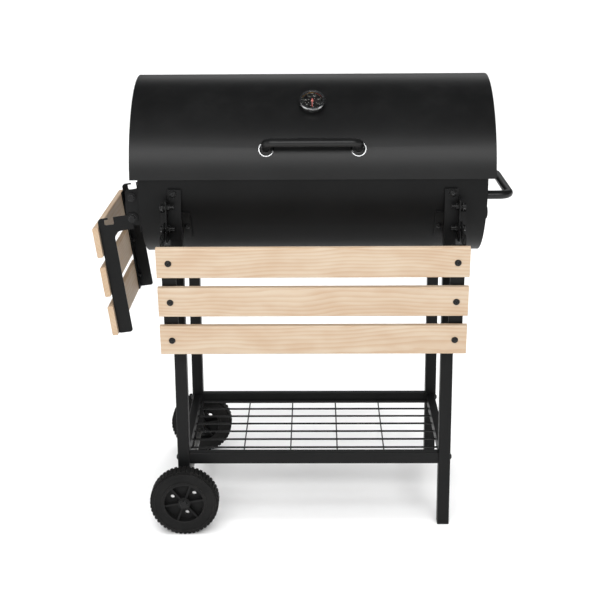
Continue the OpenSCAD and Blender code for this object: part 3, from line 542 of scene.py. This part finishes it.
new_piece("dial_ticks", scale_ticks, PRINT, "lid")
ZONES = {
    "dial_zone_low": (60, 110, dial_paint("zone_green", 0.12, (0.25, 0.9, 0.45))),
    "dial_zone_middle": (115, 190, dial_paint("zone_amber", 0.20, (1.0, 0.55, 0.12))),
    "dial_zone_high": (195, 300, dial_paint("zone_red", 0.18, (1.0, 0.12, 0.08))),
}
for zone_name, (zone_start, zone_end, zone_paint) in ZONES.items():
    new_piece(zone_name, zone(zone_start, zone_end), zone_paint, "lid")


def dial_number(degrees):
    """A plain number on the dial, upright, as a thin mesh."""
    curve = bpy.data.curves.new("number", "FONT")
    curve.body = str(degrees)
    curve.align_x = "CENTER"
    curve.align_y = "CENTER"
    curve.size = NUMBER_H
    curve.extrude = PRINT_T / 2
    curve.resolution_u = 3
    holder = bpy.data.objects.new("number", curve)
    mesh = bpy.data.meshes.new_from_object(holder)
    mesh.transform(DIAL_FRAME @ Matrix.Translation(on_dial(degrees, NUMBER_R, PRINT_T / 2)))
    bpy.data.objects.remove(holder)
    piece = bpy.data.objects.new(f"dial_number_{degrees}", mesh)
    bpy.context.scene.collection.objects.link(piece)
    mesh.materials.clear()
    mesh.materials.append(PRINT)
    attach(piece, "lid")


for value in range(NUMBER_STEP, SCALE_SWEEP + 1, NUMBER_STEP):
    dial_number(value)


# ---- Floor, lights and camera ----

def floor_material():
    s = Shader("floor_paper")
    cloud = s.noise(1.2, detail=3.0)
    s.bumps((s.noise(300.0), 0.02, 0.1 * MM))
    return s.finish(s.mix(s.band(cloud, 0.3, 0.7), grey(0.86), grey(0.88)), s.band(cloud, 0.3, 0.7, 0.85, 0.95),
                    Specular_IOR_Level=0.1)


FLOOR_HALF = 40.0
floor_mesh = bpy.data.meshes.new("floor")
floor_mesh.from_pydata([(x, y, 0) for x, y in ((-1, -1), (1, -1), (1, 1), (-1, 1))], [], [(0, 1, 2, 3)])
floor_mesh.transform(Matrix.Diagonal((FLOOR_HALF, FLOOR_HALF, 1, 1)))
floor_mesh.materials.append(floor_material())
floor = bpy.data.objects.new("floor", floor_mesh)
bpy.context.scene.collection.objects.link(floor)


def aim(thing, target):
    thing.rotation_euler = (Vector(target) - thing.location).to_track_quat("-Z", "Y").to_euler()


def softbox(name, place, target, width, height, power):
    """A lamp with a broad face whose reflection shows in the steel."""
    data = bpy.data.lights.new(name, "AREA")
    data.shape = "RECTANGLE"
    data.size, data.size_y = width, height
    data.energy = power
    lamp = bpy.data.objects.new(name, data)
    bpy.context.scene.collection.objects.link(lamp)
    lamp.location = place
    aim(lamp, target)
    return lamp


WASH_DISTANCE = 5.0


def wash(name, elevation, azimuth, strength, spread):
    """Even light from far away that leaves no reflection of its own."""
    data = bpy.data.lights.new(name, "SUN")
    data.energy = strength
    data.angle = math.radians(spread)
    lamp = bpy.data.objects.new(name, data)
    bpy.context.scene.collection.objects.link(lamp)
    e, a = math.radians(elevation), math.radians(azimuth)
    lamp.location = Vector((math.sin(a) * math.cos(e), -math.cos(a) * math.cos(e), math.sin(e))) * WASH_DISTANCE
    aim(lamp, (0, 0, 0))
    lamp.visible_glossy = False
    return lamp


DRUM_HEIGHT = 0.76
low_corner, high_corner = (Vector(c) for c in CAD_BOX)
drum_centre = Vector((0.5 * (low_corner.x + high_corner.x), JOINTS["air_damper"]["pos_m"][1], DRUM_HEIGHT))
softbox("front_softbox", (-0.2, -3.0, 2.08), drum_centre, 4.4, 0.55, 92)
softbox("left_softbox", (-3.2, -0.8, 1.5), drum_centre, 1.2, 1.8, 10)
softbox("back_softbox", (0.6, 3.2, 2.4), drum_centre, 3.5, 1.4, 14)
wash("front_wash", 34, 12, 0.86, 50)
wash("top_wash", 80, 0, 3.0, 60)
wash("back_wash", 40, 165, 0.9, 60)

def studio_world():
    """A dim studio for the light it gives, with a white wall where the camera looks past the floor."""
    world = bpy.data.worlds.new("studio")
    world.use_nodes = True
    tree = world.node_tree
    dim = tree.nodes["Background"]
    dim.inputs["Color"].default_value = (0.94, 0.97, 1.0, 1.0)
    dim.inputs["Strength"].default_value = 0.06
    wall = tree.nodes.new("ShaderNodeBackground")
    wall.inputs["Color"].default_value = (1.0, 1.0, 1.0, 1.0)
    ray = tree.nodes.new("ShaderNodeLightPath")
    either = tree.nodes.new("ShaderNodeMixShader")
    tree.links.new(ray.outputs["Is Camera Ray"], either.inputs[0])
    tree.links.new(dim.outputs[0], either.inputs[1])
    tree.links.new(wall.outputs[0], either.inputs[2])
    tree.links.new(either.outputs[0], tree.nodes["World Output"].inputs["Surface"])
    return world


bpy.context.scene.world = studio_world()

CAMERA_PLACE = Vector((0.0230, -2.4694, 1.2868))
CAMERA_LENS = 71.9
CAMERA_SHIFT = -0.15
CAMERA_PITCH = 14.23
CAMERA_YAW = 0.80
CAMERA_ROLL = -0.43

camera_data = bpy.data.cameras.new("camera")
camera_data.lens = CAMERA_LENS
camera_data.sensor_width = 36.0
camera_data.shift_y = CAMERA_SHIFT
camera = bpy.data.objects.new("camera", camera_data)
bpy.context.scene.collection.objects.link(camera)
camera.location = CAMERA_PLACE
camera.rotation_euler = (Matrix.Rotation(math.radians(CAMERA_YAW), 3, "Z")
                         @ Matrix.Rotation(math.radians(90 - CAMERA_PITCH), 3, "X")
                         @ Matrix.Rotation(math.radians(CAMERA_ROLL), 3, "Z")).to_euler()
bpy.context.scene.camera = camera
bpy.context.scene.view_settings.view_transform = "Standard"
